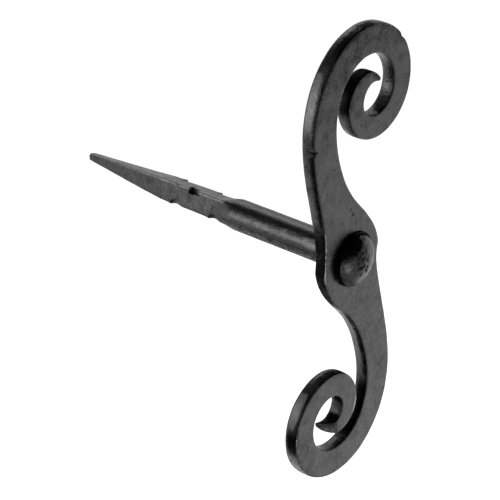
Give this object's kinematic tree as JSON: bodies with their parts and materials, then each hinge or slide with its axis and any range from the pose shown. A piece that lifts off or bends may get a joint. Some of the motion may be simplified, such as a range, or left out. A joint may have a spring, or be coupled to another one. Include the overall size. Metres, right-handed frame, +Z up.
{
  "type": "shutter dog holdback",
  "caption": "S-scroll shutter dog in black iron, turning on the domed, riveted end of a barbed drive-in spike.",
  "frame": {"origin": "on the spike's axis, at the shoulder that the dog's back runs against", "axes": "+Y along the spike towards its point, +Z up along the standing S, +X to the right seen from the rivet head"},
  "size_m": [0.0635, 0.1467, 0.181],
  "materials": {
    "dog_iron": "semi-matt black over a forged skin",
    "spike_iron": "semi-matt black, hammered on the head",
    "washer_iron": "semi-matt black, worn on the rim"
  },
  "bodies": {
    "spike": {"spike": "spike_iron", "head_washer": "washer_iron"},
    "dog": {"scroll_dog": "dog_iron"}
  },
  "joints": [
    {"name": "dog_pivot", "type": "hinge", "parent": "spike", "child": "dog", "pos_m": [0, -0.0031, 0], "axis": [0, 1, 0], "continuous": true}
  ]
}
